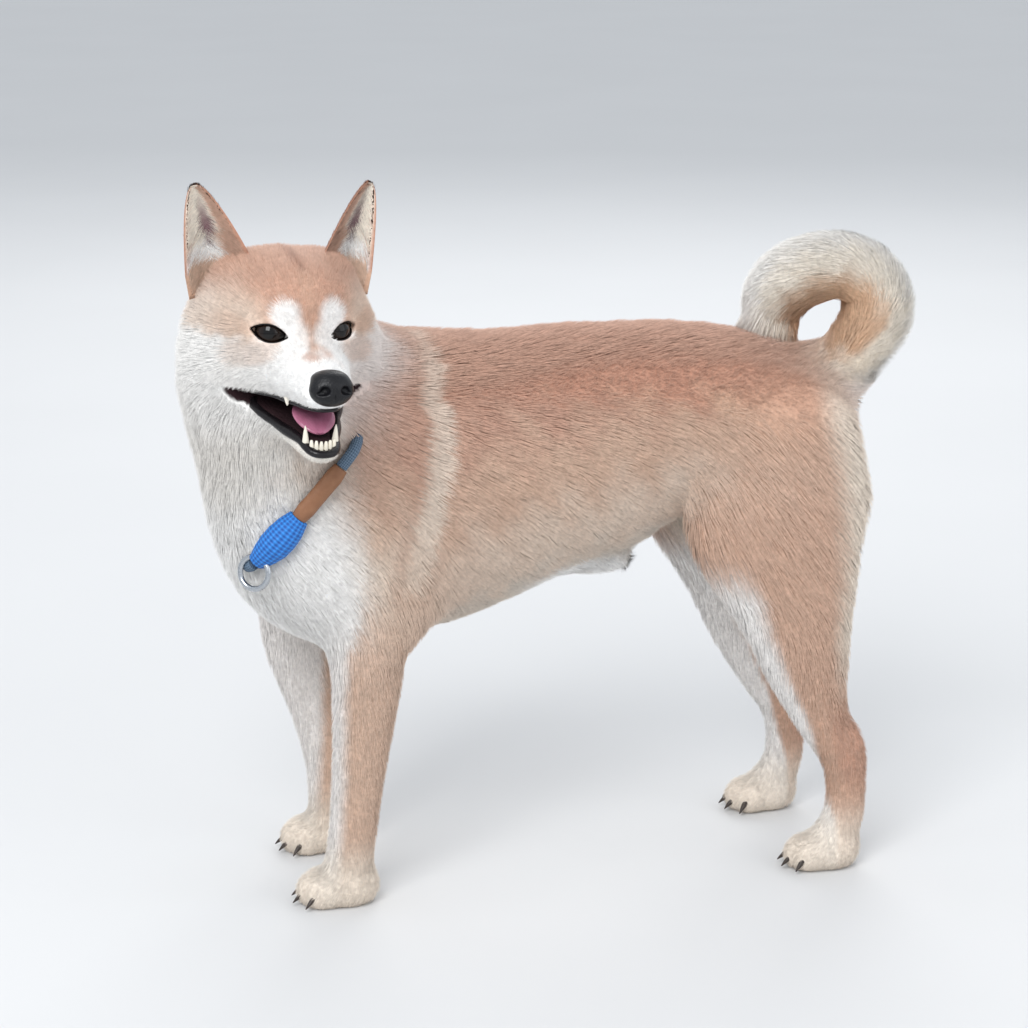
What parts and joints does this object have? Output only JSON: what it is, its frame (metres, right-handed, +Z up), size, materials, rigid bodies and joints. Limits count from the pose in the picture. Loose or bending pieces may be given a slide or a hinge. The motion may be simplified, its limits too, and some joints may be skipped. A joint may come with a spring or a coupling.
{
  "type": "shiba inu dog",
  "caption": "Life-size standing shiba inu with its head turned to its left, jaws parted, tail curled over the back, wearing a rope slip collar; still model without joints",
  "frame": {"origin": "on the floor under the middle of the dog's box", "axes": "the trunk lies along X with the head end towards -X, the dog's left side is towards -Y, the face looks towards -Y, +Z is up"},
  "size_m": [0.5389, 0.2535, 0.5137],
  "materials": {
    "coat_red": "dense double coat, red on the back and cheeks",
    "coat_cream": "dense double coat, cream",
    "tongue": "moist pink flesh",
    "nose_leather": "black pebbled skin, satin",
    "eye": "very dark brown, wet",
    "rope_braid": "braided blue cord",
    "collar_leather": "smooth brown leather",
    "collar_steel": "polished welded ring"
  },
  "bodies": {
    "root": {"head": "coat_red", "lower_jaw": "coat_cream", "tongue": "tongue", "nose": "nose_leather", "eye_left": "eye", "eye_right": "eye", "ear_left": "coat_red", "ear_right": "coat_red", "neck": "coat_cream", "trunk": "coat_red", "tail": "coat_cream", "foreleg_left": "coat_red", "foreleg_right": "coat_red", "hindleg_left": "coat_red", "hindleg_right": "coat_red", "collar_splice": "rope_braid", "collar_rope": "rope_braid", "collar_sleeve": "collar_leather", "collar_ring": "collar_steel"}
  },
  "joints": []
}
